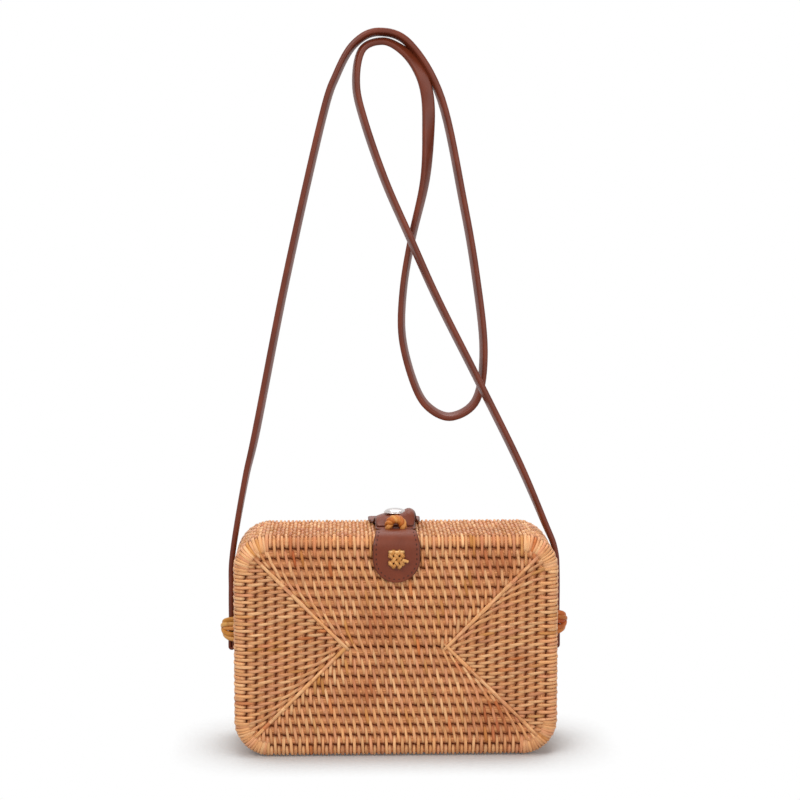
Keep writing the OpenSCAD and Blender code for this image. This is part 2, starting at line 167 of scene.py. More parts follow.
def profile(t):
    """Inset from the outline, depth behind the face and outward turn, at a distance t from the middle line"""
    t = np.asarray(t, float)
    turn = np.clip((t - face_run) / roll_r, 0, math.pi / 2)
    inset = np.where(t < face_run, half_h - t, roll_r - roll_r * np.sin(turn))
    depth = roll_r - roll_r * np.cos(turn) + np.maximum(t - wall_start, 0)
    return inset, depth, turn


def outline_loop(inset):
    """Points, outward ways and strand columns round the tray's outline, moved in by an inset, clockwise"""
    radius = max(corner_r - inset, least_r)
    flat_w = half_w - inset - radius
    flat_h = max(half_h - inset - radius, least_flat)
    right = (1, 1, 0, flat_h, half_h - corner_r, columns_down, 0)
    bottom = (1, -1, 90, flat_w, half_w - corner_r, columns_across, 1)
    left = (-1, -1, 180, flat_h, half_h - corner_r, columns_down, 0)
    top = (-1, 1, 270, flat_w, half_w - corner_r, columns_across, 0)
    places = []
    for sx, sz, start, run, half, columns, shift in (right, bottom, left, top):
        for i in range(corner_steps + 1):
            angle = math.radians(start + 90 * i / corner_steps)
            way = (math.sin(angle), math.cos(angle))
            places.append((sx * flat_w + radius * way[0], sz * flat_h + radius * way[1], way, None))
        end = places[-1]
        turn = math.radians(start + 90)
        way = (math.sin(turn), math.cos(turn))
        for i in range(1, 2 * columns):
            gone = run * i / columns
            column = (gone - run + half) / (2 * half) * columns - 0.5 + shift
            places.append((end[0] + way[1] * gone, end[1] - way[0] * gone, way, column))
    return places


def tray_shell(facing, rings):
    """Closed shell from the middle of the face round the rim to the middle of its inside.
    Each ring has an inset, depth, outward turn, lift, distance, row and tilt."""
    points = []
    marks = []
    for inset, depth, turn, lift, t, row, tilt in rings:
        run = 0.0
        last = None
        for x, z, way, column in outline_loop(inset):
            swing = 0.0 if column is None else -dash_tilt * tilt * math.sin(math.pi * (column - row))
            out = lift * math.sin(turn) + swing * math.cos(turn)
            y = facing * (half_d - depth + lift * math.cos(turn))
            point = (x + way[0] * out, y, half_h + z + way[1] * out)
            run += math.dist(point, last) if last else 0.0
            last = point
            points.append(point)
            marks.append((run, t, 0.0))
    faces = ring_faces(len(rings), len(points) // len(rings))
    if facing > 0:
        faces = [face[::-1] for face in faces]
    return {"points": np.array(points), "faces": faces, "marks": np.array(marks)}


def relieve(points, facing):
    """Pushes points at the foot of the seam back to a slope, so that the trays can swing apart"""
    near_hinge = (points[:, 2] < relief_z) & (np.abs(points[:, 1]) < relief_z * relief_slope)
    least = np.maximum(0, (relief_z - points[:, 2]) * relief_slope)
    points[:, 1] = np.where(near_hinge, facing * np.maximum(np.abs(points[:, 1]), least), points[:, 1])


core_rings = []
for row, (low, high) in enumerate(zip(rows[:-1], rows[1:])):
    for share, tilt in zip(valley_shares, tilt_shares):
        t = low + (high - low) * share
        swell = math.sin(math.pi * share) ** bundle_round
        inset, depth, turn = profile(max(t, slit_half))
        lift = -core_sunk - core_valley * (1 - swell)
        core_rings.append((float(inset), float(depth), float(turn), lift, t, row + round(share), tilt))
rim_deep = tray_deep - rim_back
upright = math.pi / 2
core_rings.append((0.0, rim_deep, upright, -core_sunk - rim_sunk, rows[-1], 0, 0.0))
core_rings.append((wall_thick, rim_deep, upright, 0.0, rows[-1] + rim_grain, 0, 0.0))
core_rings.append((wall_thick, wall_thick, upright, 0.0, rows[-1] + wall_grain, 0, 0.0))
core_rings.append((half_h - slit_half, wall_thick, 0.0, 0.0, rows[-1] + floor_grain, 0, 0.0))

# Split vine laid in bundles: dull, with fine lines along the course, pink and pale lengths, and the painted
# shade of the valleys from its tint.
bundled_vine, shader = finish_of("bundled_vine", 0.6, 0.05)
node = partial(add_node, bundled_vine)
vine_line_mm = 0.7
line_run_mm = 20.0
length_mm = 9.0
length_w_mm = 2.2222
line_dark = (0.6, 0.45, 0.34, 1.0)
line_pale = (1.34, 1.3, 1.26, 1.0)
no_cast = (1.0, 1.0, 1.0, 1.0)
pink_cast = (1.1, 1.12, 1.45, 1.0)
tint = node("Attribute", attribute_name="tint")
marks = node("Attribute", attribute_name="marks").outputs["Vector"]
stretch = node("VectorMath", {0: marks, 1: (1 / line_run_mm, 1 / vine_line_mm, 1.0)}, operation="MULTIPLY")
lines = node("TexNoise", {"Vector": stretch, "Scale": 1.0, "Detail": 3.0, "Roughness": 0.65})
depth = node("MapRange", {"Value": lines, 1: 0.3, 2: 0.7})
shade = node("Mix", {0: depth, 6: line_dark, 7: line_pale}, data_type="RGBA")
lengths = node("VectorMath", {0: marks, 1: (1 / length_mm, 1 / length_w_mm, 1.0)}, operation="MULTIPLY")
patches = node("TexNoise", {"Vector": lengths, "Scale": 1.0, "Detail": 2.0})
pinkness = node("MapRange", {"Value": patches, 1: 0.5, 2: 0.68, 3: 0.0, 4: 0.55})
mottled = node("Mix", {0: pinkness, 6: no_cast, 7: pink_cast}, data_type="RGBA")
wood = node("Mix", {0: 1.0, 6: tint, 7: shade}, data_type="RGBA", blend_type="MULTIPLY")
toned = node("Mix", {0: 1.0, 6: wood, 7: mottled}, data_type="RGBA", blend_type="MULTIPLY")
feed(bundled_vine, toned, shader.inputs["Base Color"])
bump = node("Bump", {"Strength": 0.7, "Distance": 0.4 * mm, "Height": lines})
feed(bundled_vine, bump, shader.inputs["Normal"])

cores = {}
for body, facing in trays.items():
    core = tray_shell(facing, core_rings)
    relieve(core["points"], facing)
    high = np.array(linear(bundle_wood))
    low = np.array(linear(valley_painted_shade))
    # Painted shade: the core darkens from the wood colour on the crests to the shade colour deep in the
    # valleys
    light = np.clip([(ring[3] + core_sunk + core_valley) / core_valley for ring in core_rings], 0, 1)
    light = np.repeat(light, len(core["points"]) // len(core_rings))
    core["colours"] = low + (high - low) * light[:, None] ** 2
    cores[body] = make_piece(body + "_tray_core", [core], bundled_vine)
    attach(cores[body], body)
    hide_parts(body + "_shell")


# Plaited strands of the trays: split rattan; each float lies over two courses, then dives between bundles.
# Neighbouring columns are one course apart, which leaves rows of short dark gaps, darkened further by painted
# shade; the floats lean clockwise and crowd towards the mitres, where heavier strands cover the join. Long
# ones run over the edge.

random.seed(7)
float_w_across = 1.8
float_w_down = 1.98
float_spread = (0.9, 1.1)
float_high = 1.2
float_sink = 0.25
float_dive = 1.7
dive_power = 4.0
dive_power_per_mm = 0.55
# Painted shade: how far the strands' ends darken towards the dark tone as they dive
dive_shade = 1.15
end_crowding = 0.25
end_narrowing = 0.22
end_thinning = 0.2
float_rings = 8
roll_float_rings = 12
strand_count = 8
float_square = 2.3
float_gap = 0.4
shortest_float = 3.5
corner_columns = 15
corner_start = 58.0
corner_late = 1.0
corner_w = 2.3
corner_spread = (0.92, 1.1)
# Painted shade: the floats of the left and right sides, laid across the light, are darkened as a whole
down_painted_shade = 0.87
extra_columns = 3
lean_base = 10.0
lean_past = 4.0
lean_fade = 12.0
lean_start = 30.0
lean_end = -14.0
lean_reach = 9.0
lean_jitter = 1.6
sway_jitter = 0.14
mitre_w = 2.3
mitre_w_spread = (0.85, 1.1)
mitre_high = 1.4
mitre_long = 16.0
mitre_long_spread = (0.85, 1.05)
mitre_turn = math.radians(8.0)
mitre_step = 0.8 * face_pitch
mitre_first = -2
mitre_start_share = 0.6
mitre_sides = (-0.8, 1.0)
mitre_sunk = 0.2
mitre_sink_spread = (-0.3, 0.1)
mitre_dive = 1.8
mitre_narrowing = 0.3
# Painted shade: how far the mitre strands' ends darken
mitre_shade = 0.7
mitre_square = 2.2
mitre_rings = 10
vine_tones = ["#E3AC78", "#EEBF8E", "#DCA077", "#C98E4A", "#CD7A42"]
vine_shares = [0.43, 0.26, 0.23, 0.06, 0.02]
common_tones = vine_tones[:3]
tone_mix = 0.7
tone_spread = (0.88, 1.08)
red_patches = [(-60, 128, 15), (-10, 84, 13), (60, 122, 15), (60, 22, 16), (-20, 40, 10)]
red_tone = "#AD5B31"
red_most = 0.75
red_spread = (0.2, 1.1)
# Painted shade: the dark tone that strand ends fade to where they dive under
painted_dive_shade = "#561A02"
grain_run = 400
grain_layers = 50
sides = [
    {"along": (1, 0, 0), "out": (0, 0, 1), "half": half_w - corner_r, "reach": half_h},
    {"along": (0, 0, -1), "out": (1, 0, 0), "half": half_h - corner_r, "reach": half_w},
    {"along": (-1, 0, 0), "out": (0, 0, -1), "half": half_w - corner_r, "reach": half_h},
    {"along": (0, 0, 1), "out": (-1, 0, 0), "half": half_h - corner_r, "reach": half_w},
]


def on_side(facing, side, a, t, lift):
    """Points and outward ways on one side of a tray"""
    inset, depth, turn = profile(t)
    out = side["reach"] - inset + lift * np.sin(turn)
    points = np.outer(a, side["along"]) + np.outer(out, side["out"]) + np.array([0, 0, half_h])
    points[:, 1] = facing * (half_d - depth + lift * np.cos(turn))
    ups = np.outer(np.sin(turn), side["out"])
    ups[:, 1] = facing * np.cos(turn)
    return points, ups


def corner_centre(corner):
    """Centre of a round corner, seen from the front, and the outward ways of the sides before and after it"""
    before = sides[corner]
    after = sides[(corner + 1) % 4]
    outs = np.array(before["out"], float), np.array(after["out"], float)
    return outs[0] * (before["reach"] - corner_r) + outs[1] * (after["reach"] - corner_r), *outs


def on_corner(facing, corner, a, t, lift):
    """Points and outward ways on a round corner, a being the angle from the side before it"""
    centre, before, after = corner_centre(corner)
    inset, depth, turn = profile(t)
    way = np.outer(np.cos(a), before) + np.outer(np.sin(a), after)
    radius = corner_r - inset + lift * np.sin(turn)
    points = way * radius[:, None] + centre + np.array([0, 0, half_h])
    points[:, 1] = facing * (half_d - depth + lift * np.cos(turn))
    ups = way * np.sin(turn)[:, None]
    ups[:, 1] = facing * np.cos(turn)
    return points, ups


def sweep(line, ups, widths, heights, count, squareness=2.0):
    """Closed tube along a line with oval or squarish rings, widths across and heights along the ups"""
    line = np.asarray(line, float)
    runs = np.gradient(line, axis=0)
    runs /= np.linalg.norm(runs, axis=1)[:, None]
    across = np.cross(runs, np.asarray(ups, float))
    across /= np.linalg.norm(across, axis=1)[:, None]
    up = np.cross(across, runs)
    turns = np.arange(count) * 2 * math.pi / count
    wide = np.sign(np.cos(turns)) * np.abs(np.cos(turns)) ** (2 / squareness)
    tall = np.sign(np.sin(turns)) * np.abs(np.sin(turns)) ** (2 / squareness)
    n = len(line)
    widths = np.broadcast_to(widths, n)[:, None] / 2 * wide
    heights = np.broadcast_to(heights, n)[:, None] / 2 * tall
    points = line[:, None, :] + across[:, None, :] * widths[:, :, None] + up[:, None, :] * heights[:, :, None]
    run = np.concatenate([[0], np.cumsum(np.linalg.norm(np.diff(line, axis=0), axis=1))])
    marks = np.stack([np.repeat(run, count), widths.ravel(), heights.ravel()], axis=1)
    return {"points": points.reshape(-1, 3), "faces": ring_faces(n, count), "marks": marks}


def paint(part, colour, fade):
    """Gives a strand its colour, its ring by ring fade to a painted shade at the dives and a place of its own
    in the grain
    """
    count = len(part["points"]) // len(fade)
    fade = np.repeat(np.clip(fade, 0, 1), count)[:, None]
    part["colours"] = np.array(colour) * (1 - fade) + np.array(linear(painted_dive_shade)) * fade
    part["marks"][:, 0] += random.uniform(0, grain_run)
    part["marks"][:, 2] = random.uniform(0, grain_layers)
    return part


def vine_colour(x, z, front):
    """One strand's colour: a mix of the harvest's tones, redder in a few patches of the front"""
    pick = np.array(linear(random.choices(vine_tones, vine_shares)[0]))
    other = np.array(linear(random.choice(common_tones)))
    colour = pick + (other - pick) * random.uniform(0.0, tone_mix)
    red = sum(math.exp(-((x - px) ** 2 + (z - pz) ** 2) / r ** 2) for px, pz, r in red_patches if front)
    red = min(red_most, red * random.uniform(*red_spread))
    colour = (colour + (np.array(linear(red_tone)) - colour) * red) * random.uniform(*tone_spread)
    colour[3] = 1.0
    return colour


def strand(place, a, t0, t1, width, lean, shade=1.0):
    """One float between two rows, laid on a side or a corner, its ends diving into the core under painted
    shade; shade is painted shade on it all
    """
    rings = roll_float_rings if t1 > face_run and t0 < wall_start else float_rings
    share = np.linspace(0, 1, rings)
    share = 0.5 - 0.5 * np.cos(share * math.pi) * (1 + end_crowding * np.sin(share * math.pi) ** 2)
    t = t0 + (t1 - t0) * share
    drop = np.abs(2 * share - 1) ** max(dive_power, (t1 - t0) * dive_power_per_mm)
    lift = -float_high / 2 - random.uniform(0.0, float_sink) - float_dive * drop
    slide = math.tan(lean) * ((t0 + t1) / 2 - t)
    points, ups = place(a + slide, t, lift)
    widths = width * (1 - end_narrowing * drop)
    part = sweep(points, ups, widths, float_high * (1 - end_thinning * drop), strand_count, float_square)
    part["middle"] = (t0 + t1) / 2
    x, y, z = points[rings // 2]
    colour = vine_colour(x, z, y < 0) * np.array((shade, shade, shade, 1.0))
    return paint(part, colour, drop * dive_shade)


def spans(parity, t_low, t_most=math.inf):
    """Rows between which the floats of one column run, from the mitre or across the middle to the rim"""
    found = []
    for low in range(parity - 2, len(rows) - 1, 2):
        first = rows[low] if low >= 0 else low * face_pitch
        start = max(first, t_low)
        end = min(rows[min(low + 2, len(rows) - 1)], t_most)
        if low + 2 > 0 and end - start > shortest_float:
            found.append((start + float_gap, end - float_gap))
    return found


def side_floats(facing, number):
    """All floats of one side, leaning clockwise and more so next to the mitre where the side starts.
    Those of the top cross the middle line, so those of the bottom begin below them."""
    parts = []
    side = sides[number]
    downward = number % 2 == 1
    count = columns_down if downward else columns_across
    width = float_w_down if downward else float_w_across
    round_r = corner_r - roll_r
    for i in range(-extra_columns, count + extra_columns):
        a = -side["half"] + (i + 0.5) * 2 * side["half"] / count
        t_low = abs(a) + half_h - corner_r - side["half"]
        past = abs(a) - side["half"]
        t_most = half_h - corner_r + math.sqrt(round_r ** 2 - past ** 2) if past > 0 else math.inf
        parity = (i + 1) % 2 if number == 2 else i % 2
        for t0, t1 in spans(parity, t_low if number == 0 else max(t_low, 0.0), t_most):
            if number == 2 and t1 < face_pitch and t_low < 0:
                continue
            middle = (t0 + t1) / 2
            room = side["half"] + middle - half_h + corner_r
            lean = lean_base * min(1.0, max(0.0, (face_run + lean_past - middle) / lean_fade))
            if middle < face_run:
                lean += lean_start * math.exp(-((a + room) / lean_reach) ** 2)
                lean += lean_end * math.exp(-((a - room) / lean_reach) ** 2)
            lean = math.radians(lean + random.gauss(0, lean_jitter))
            sway = a + random.gauss(0, sway_jitter)
            # Painted shade over the floats of the left and right sides
            shade = down_painted_shade if downward and middle < face_run else 1.0
            spread = random.uniform(*float_spread)
            parts.append(strand(partial(on_side, facing, side), sway, t0, t1, width * spread, lean, shade))
    return parts


def corner_floats(facing, corner):
    """Floats that fan round one corner, narrower as they run in"""
    parts = []
    for i in range(corner_columns):
        angle = (i + 0.5) / corner_columns * math.pi / 2
        for t0, t1 in spans(i % 2, corner_start):
            t0 = corner_start if t0 < face_run + corner_late else t0
            inset = float(profile((t0 + t1) / 2)[0])
            width = corner_w * (1 - inset / corner_r) * random.uniform(*corner_spread)
            parts.append(strand(partial(on_corner, facing, corner), angle, t0, t1, width, 0.0))
    return parts


def mitre_floats(facing, corner):
    """Heavier strands laid over one mitre, each overlapping the next like the strands of a rope, their ends
    fading to painted shade
    """
    parts = []
    start, before, after = corner_centre(corner)
    inward = -(before + after)
    beside = np.array(sides[corner]["along"], float) - np.array(sides[(corner + 1) % 4]["along"])
    inward /= np.linalg.norm(inward)
    beside /= np.linalg.norm(beside)
    way = inward * math.cos(mitre_turn) - beside * math.sin(mitre_turn)
    share = np.linspace(-0.5, 0.5, mitre_rings)
    drop = np.abs(2 * share) ** 3
    ups = np.tile([0.0, facing, 0.0], (mitre_rings, 1))
    for i in range(mitre_first, int((half_h - corner_r) * math.sqrt(2) / mitre_step)):
        middle = start + inward * (i + mitre_start_share) * mitre_step + beside * mitre_sides[i % 2]
        line = middle + np.outer(share * mitre_long * random.uniform(*mitre_long_spread), way)
        line[:, 2] += half_h
        line[:, 1] = facing * (half_d - mitre_sunk - mitre_dive * drop + random.uniform(*mitre_sink_spread))
        widths = mitre_w * random.uniform(*mitre_w_spread) * (1 - mitre_narrowing * drop)
        part = sweep(line, ups, widths, mitre_high * (1 - end_thinning * drop), strand_count, mitre_square)
        part["middle"] = 0.0
        x, y, z = line[mitre_rings // 2]
        parts.append(paint(part, vine_colour(x, z, facing < 0), drop * mitre_shade))
    return parts


# Split rattan: satin skin in honey, straw, pink and rust tones, with fine fibre lines and brown flecks.
split_rattan, shader = finish_of("split_rattan", 0.42, 0.22)
node = partial(add_node, split_rattan)
fibre_mm = 0.45
fibre_run_mm = 14.2857
fleck_mm = 5.0
fibre_dark = (0.78, 0.61, 0.5, 1.0)
fibre_pale = (1.2, 1.17, 1.13, 1.0)
tint = node("Attribute", attribute_name="tint")
marks = node("Attribute", attribute_name="marks").outputs["Vector"]
stretch = node("VectorMath", {0: marks, 1: (1 / fibre_run_mm, 1 / fibre_mm, 1.0)}, operation="MULTIPLY")
fibres = node("TexNoise", {"Vector": stretch, "Scale": 1.0, "Detail": 3.0, "Roughness": 0.6})
depth = node("MapRange", {"Value": fibres, 1: 0.3, 2: 0.7})
shade = node("Mix", {0: depth, 6: fibre_dark, 7: fibre_pale}, data_type="RGBA")
wood = node("Mix", {0: 1.0, 6: tint, 7: shade}, data_type="RGBA", blend_type="MULTIPLY")
flecks = node("TexNoise", {"Vector": marks, "Scale": 1 / fleck_mm, "Detail": 2.0})
fleck = node("MapRange", {"Value": flecks, 1: 0.58, 2: 0.72, 3: 0.0, 4: 0.4})
skin = node("Mix", {0: fleck, 6: wood, 7: linear("#8A4C24")}, data_type="RGBA")
feed(split_rattan, skin, shader.inputs["Base Color"])
bump = node("Bump", {"Strength": 0.5, "Distance": 0.2 * mm, "Height": fibres})
feed(split_rattan, bump, shader.inputs["Normal"])

for body, facing in trays.items():
    parts = []
    for number in range(4):
        parts += side_floats(facing, number)
        parts += corner_floats(facing, number)
        parts += mitre_floats(facing, number)
    for part in parts:
        relieve(part["points"], facing)
    for place in ("face", "wall"):
        chosen = [part for part in parts if (part["middle"] < face_run + roll_r) == (place == "face")]
        weave = make_piece(body + "_" + place + "_weave", chosen, split_rattan)
        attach(weave, body)
        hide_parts(body + "_shell")


# Linings: a pan of plain cotton in each tray, sewn with a turned hem a little below the seam.
# The cloth lies on the woven floor and walls and shows only when the bag is open.

lining_off = 0.25
lining_out = wall_thick + lining_off
lining_fillet = 3.0
floor_insets = (half_h - slit_half, 30.0, 15.0)
cloth_thick = 0.7
hem_thick = 1.3
hem_deep = 5.0
hem_back = 6.3
hem_round = 0.5
hem_slope = 0.8
cloth_swell = 0.45
swell_mm = 21.0
swell_ratio = 1.7
swell_shift = (1.3, 0.4)
swell_from = 10.0
swell_over = 12.0
hem_thread = (2.6, 0.6, 0.5)
hem_thread_in = 0.8
hem_thread_step = 4.2
hem_thread_start = 2.0
stitch_rings = 5
stitch_sink = 0.7
stitch_narrowing = 0.3
thread_count = 6


def pan_floor(off, radius):
    """Floor of the pan and its bend, as insets and depths from the middle out"""
    bends = [math.radians(18 * i) for i in range(6)]
    path = [(inset, off) for inset in floor_insets]
    return path + [(off + radius * (1 - math.sin(f)), off + radius * (1 - math.cos(f))) for f in bends]


def stitch(middle, along, up, long, wide, high):
    """One short thread lying on a surface, its ends sunk in their holes"""
    share = np.linspace(-0.5, 0.5, stitch_rings)
    drop = np.abs(2 * share) ** 3
    line = np.array(middle) + np.outer(share * long, along) - np.outer(drop * high * stitch_sink, up)
    ups = np.tile(up, (stitch_rings, 1))
    return sweep(line, ups, wide * (1 - stitch_narrowing * drop), high, thread_count)


# Plain cotton: matt ecru cloth whose crossing yarns give a fine grid and a soft fuzz at grazing angles.
plain_cotton, shader = finish_of("plain_cotton", 0.92, 0.2)
node = partial(add_node, plain_cotton)
shader.inputs["Sheen Weight"].default_value = 0.35
yarn_mm = 0.55
slub_mm = 3.84615
place = node("TexCoord").outputs["Object"]
yarns = []
for axis in ((1.0, 0.0, 0.35), (0.0, 1.0, 0.35)):
    along = node("VectorMath", {0: place, 1: axis}, operation="DOT_PRODUCT")
    wave = node("Math", {0: along, 1: 2 * math.pi / (yarn_mm * mm)}, operation="MULTIPLY")
    yarns.append(node("Math", {0: wave}, operation="SINE"))
grid = node("Math", {0: yarns[0], 1: yarns[1]}, operation="MULTIPLY")
slubs = node("TexNoise", {"Vector": place, "Scale": 1 / (slub_mm * mm), "Detail": 3.0})
mixed = node("Math", {0: grid, 1: slubs, 2: 0.5}, operation="MULTIPLY_ADD")
cloth = node("Mix", {0: mixed, 6: linear("#CDBFA2"), 7: linear("#E6DCC4")}, data_type="RGBA")
feed(plain_cotton, cloth, shader.inputs["Base Color"])
bump = node("Bump", {"Strength": 0.4, "Distance": 0.2 * mm, "Height": mixed})
feed(plain_cotton, bump, shader.inputs["Normal"])

hem_edge = half_d - hem_back
lining_path = pan_floor(lining_out, lining_fillet)
lining_path += [(lining_out, hem_edge), (lining_out + hem_thick / 2, hem_edge + hem_round)]
lining_path += [(lining_out + hem_thick, hem_edge), (lining_out + hem_thick, hem_edge - hem_deep)]
lining_path += [(lining_out + cloth_thick, hem_edge - hem_deep - hem_slope)]
lining_path += reversed(pan_floor(lining_out + cloth_thick, lining_fillet - cloth_thick))
lining_rings = [(inset, depth, 0.0, 0.0, float(i), 0, 0.0) for i, (inset, depth) in enumerate(lining_path)]
for body, facing in trays.items():
    pan = tray_shell(facing, lining_rings)
    x, y, z = pan["points"].T
    room = np.minimum(half_w - np.abs(x), half_h - np.abs(z - half_h))
    flatness = np.clip((room - swell_from) / swell_over, 0, 1)
    ripple = np.sin(x / swell_mm + swell_shift[0]) * np.sin(z / swell_mm * swell_ratio + swell_shift[1])
    pan["points"][:, 1] -= facing * cloth_swell * (1 + ripple) * flatness
    lining = make_piece(body + "_cotton_lining", [pan], plain_cotton)
    loop = outline_loop(lining_out + hem_thick)
    thread_y = facing * (hem_back + hem_deep - hem_thread_in)
    line = np.array([(x, thread_y, half_h + z) for x, z, way, column in loop])
    ways = np.array([(way[0], 0.0, way[1]) for x, z, way, column in loop])
    gone = np.concatenate([[0], np.cumsum(np.linalg.norm(np.diff(line, axis=0), axis=1))])
    threads = []
    for at in np.arange(hem_thread_start, gone[-1] - hem_thread_start, hem_thread_step):
        k = int(np.searchsorted(gone, at))
        ahead = line[min(k + 1, len(line) - 1)] - line[k - 1]
        threads.append(stitch(line[k], ahead / np.linalg.norm(ahead), -ways[k], *hem_thread))
    hem = make_piece(body + "_lining_stitches", threads, plain_cotton)
    for piece in (lining, hem):
        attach(piece, body)
    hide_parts(body + "_lining")


# Hinge ties: three rings of split vine in each group, wound through both trays at the base and tucked in.
# The front tray turns on them.

hinge_z = 4.0
tie_x = 55.0
tie_ring_r = 3.0
tie_r = 0.8
tie_pitch = 3.4
tie_turn = math.radians(400.0)
tie_drift = 0.3
tie_rings = 36
tie_tone = "#CF9A5C"
for name, side in (("left", -1), ("right", 1)):
    rings = []
    for i in (-1, 0, 1):
        angles = np.linspace(0, tie_turn, tie_rings)
        away = np.stack([0 * angles, np.cos(angles), np.sin(angles)], axis=1)
        line = np.array([side * tie_x + i * tie_pitch, 0, hinge_z]) + away * tie_ring_r
        line[:, 0] += (angles / tie_turn - 0.5) * tie_drift
        ring = sweep(line, away, 2 * tie_r, 2 * tie_r, strand_count)
        rings.append(paint(ring, linear(tie_tone), np.zeros(tie_rings)))
    tie = make_piece("hinge_tie_vine_" + name, rings, split_rattan)
    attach(tie, "back")
    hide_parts("hinge_tie_" + name)


# Front tab: a strip of thick vegetable-tanned leather with a round end on the face, bent over the top edge.
# A row of dark saddle stitches follows its edge, and its free end rises to the press stud.

leather_thick = 2.0
tab_gap = 0.3
tab_mid = tab_gap + leather_thick / 2
tab_end_r = 14.5
tab_end_z = 124.0
tab_end_angles = (7, 13, 20, 28, 36, 45, 54, 63, 72, 81, 90)
bag_h = 2 * half_h
top_z = bag_h + tab_mid
front_half_w = 12.4
front_tip_r = 14.9
front_tip_y = -10.0
stud_rise = 2.0
front_rises = [(-22, 0), (-17.5, 0), (-15.7, 0.03), (-13, 0.22), (-10.5, 0.62), (-8.5, 0.92), (-6.5, 1),
               (-3, 1), (0, 1), (2, 1), (3.4, 1), (4.3, 1), (4.7, 1)]
strip_count = 40
strip_square = 5.0
edge_from = 0.93
edge_shade = 0.62
stitch_in = 2.1
stitch_step = 3.0
stitch_angles = (0, 17, 34, 51, 68)
thread_size = (1.3, 0.7, 0.45)


def over_edge(facing, top_half):
    """Middle line of a tab from its round end up the face and over the edge roll, with half widths"""
    y = facing * (half_d + tab_mid)
    spots = []
    for angle in np.radians(tab_end_angles):
        spots.append((y, tab_end_z - tab_end_r * math.cos(angle), tab_end_r * math.sin(angle)))
    spots.append((y, (tab_end_z + bag_h - roll_r) / 2, tab_end_r))
    around = roll_r + tab_mid
    for angle in np.radians(range(0, 91, 9)):
        y = facing * (half_d - roll_r + around * math.cos(angle))
        half = tab_end_r + (top_half - tab_end_r) * math.sin(angle) ** 2
        spots.append((y, bag_h - roll_r + around * math.sin(angle), half))
    return spots


def leather_strip(spots, facing, thick=leather_thick):
    """Flat strip of leather along a line of y, z and half width, with shaded edges"""
    line = np.array([(0.0, y, z) for y, z, half in spots])
    runs = np.gradient(line, axis=0)
    ups = np.stack([0 * runs[:, 0], facing * runs[:, 2], -facing * runs[:, 1]], axis=1)
    ups /= np.linalg.norm(ups, axis=1)[:, None]
    halves = np.array([half for y, z, half in spots])
    strip = sweep(line, ups, 2 * halves, thick, strip_count, strip_square)
    share = np.abs(np.cos(np.arange(strip_count) * 2 * math.pi / strip_count)) ** (2 / strip_square)
    tone = np.tile(np.where(share > edge_from, edge_shade, 1.0), len(spots))
    strip["colours"] = np.stack([tone, tone, tone, np.ones_like(tone)], axis=1)
    return strip


# Tab leather: red-brown hide with a fine pebbled grain, a soft polish, darker cut edges and faint scuffs.
tab_leather, shader = finish_of("tab_leather", 0.42, 0.32)
node = partial(add_node, tab_leather)
pebble_mm = 0.7
scuff_mm = 8.33333
tint = node("Attribute", attribute_name="tint")
place = node("TexCoord").outputs["Object"]
cells = node("TexVoronoi", {"Vector": place, "Scale": 1 / (pebble_mm * mm)})
scuffs = node("TexNoise", {"Vector": place, "Scale": 1 / (scuff_mm * mm), "Detail": 5.0})
hide = node("Mix", {0: scuffs, 6: linear("#622813"), 7: linear("#7E381C")}, data_type="RGBA")
edged = node("Mix", {0: 1.0, 6: hide, 7: tint}, data_type="RGBA", blend_type="MULTIPLY")
feed(tab_leather, edged, shader.inputs["Base Color"])
polish = node("MapRange", {"Value": scuffs, 1: 0.3, 2: 0.7, 3: 0.34, 4: 0.52})
feed(tab_leather, polish, shader.inputs["Roughness"])
bump = node("Bump", {"Strength": 0.25, "Distance": 0.2 * mm, "Height": cells})
feed(tab_leather, bump, shader.inputs["Normal"])

# Waxed linen thread: nearly black brown, dull, with the twist of its plies.
waxed_thread, shader = finish_of("waxed_thread", 0.6, 0.3)
node = partial(add_node, waxed_thread)
ply_mm = 0.2856
marks = node("Attribute", attribute_name="marks").outputs["Vector"]
plies = node("TexWave", {"Vector": marks, "Scale": math.pi / 5 / ply_mm, "Distortion": 1.0},
             bands_direction="DIAGONAL").outputs["Fac"]
ply = node("Mix", {0: plies, 6: linear("#3A1A12"), 7: linear("#552A1E")}, data_type="RGBA")
feed(waxed_thread, ply, shader.inputs["Base Color"])
bump = node("Bump", {"Strength": 0.4, "Distance": 0.1 * mm, "Height": plies})
feed(waxed_thread, bump, shader.inputs["Normal"])


def tab_stitches(facing, top_half):
    """Saddle stitches a little inside the edge, round the end, up both sides and over the roll"""
    threads = []
    y = facing * (half_d + tab_gap + leather_thick)
    out = np.array((0.0, facing, 0.0))
    end_r = tab_end_r - stitch_in
    turns = round(math.pi * end_r / stitch_step)
    for i in range(turns + 1):
        angle = math.pi * i / turns
        spot = (end_r * math.cos(angle), y, tab_end_z - end_r * math.sin(angle))
        threads.append(stitch(spot, (math.sin(angle), 0, math.cos(angle)), out, *thread_size))
    for x in (-1, 1):
        spot = (x * end_r, y, tab_end_z + stitch_step)
        threads.append(stitch(spot, (0, 0, 1), out, *thread_size))
        for angle in np.radians(stitch_angles):
            way = np.array((0.0, facing * math.cos(angle), math.sin(angle)))
            half = end_r + (top_half - tab_end_r) * math.sin(angle) ** 2
            spot = np.array((x * half, facing * (half_d - roll_r), bag_h - roll_r))
            spot = spot + way * (roll_r + tab_gap + leather_thick)
            threads.append(stitch(spot, (0, -facing * math.sin(angle), math.cos(angle)), way, *thread_size))
    return threads


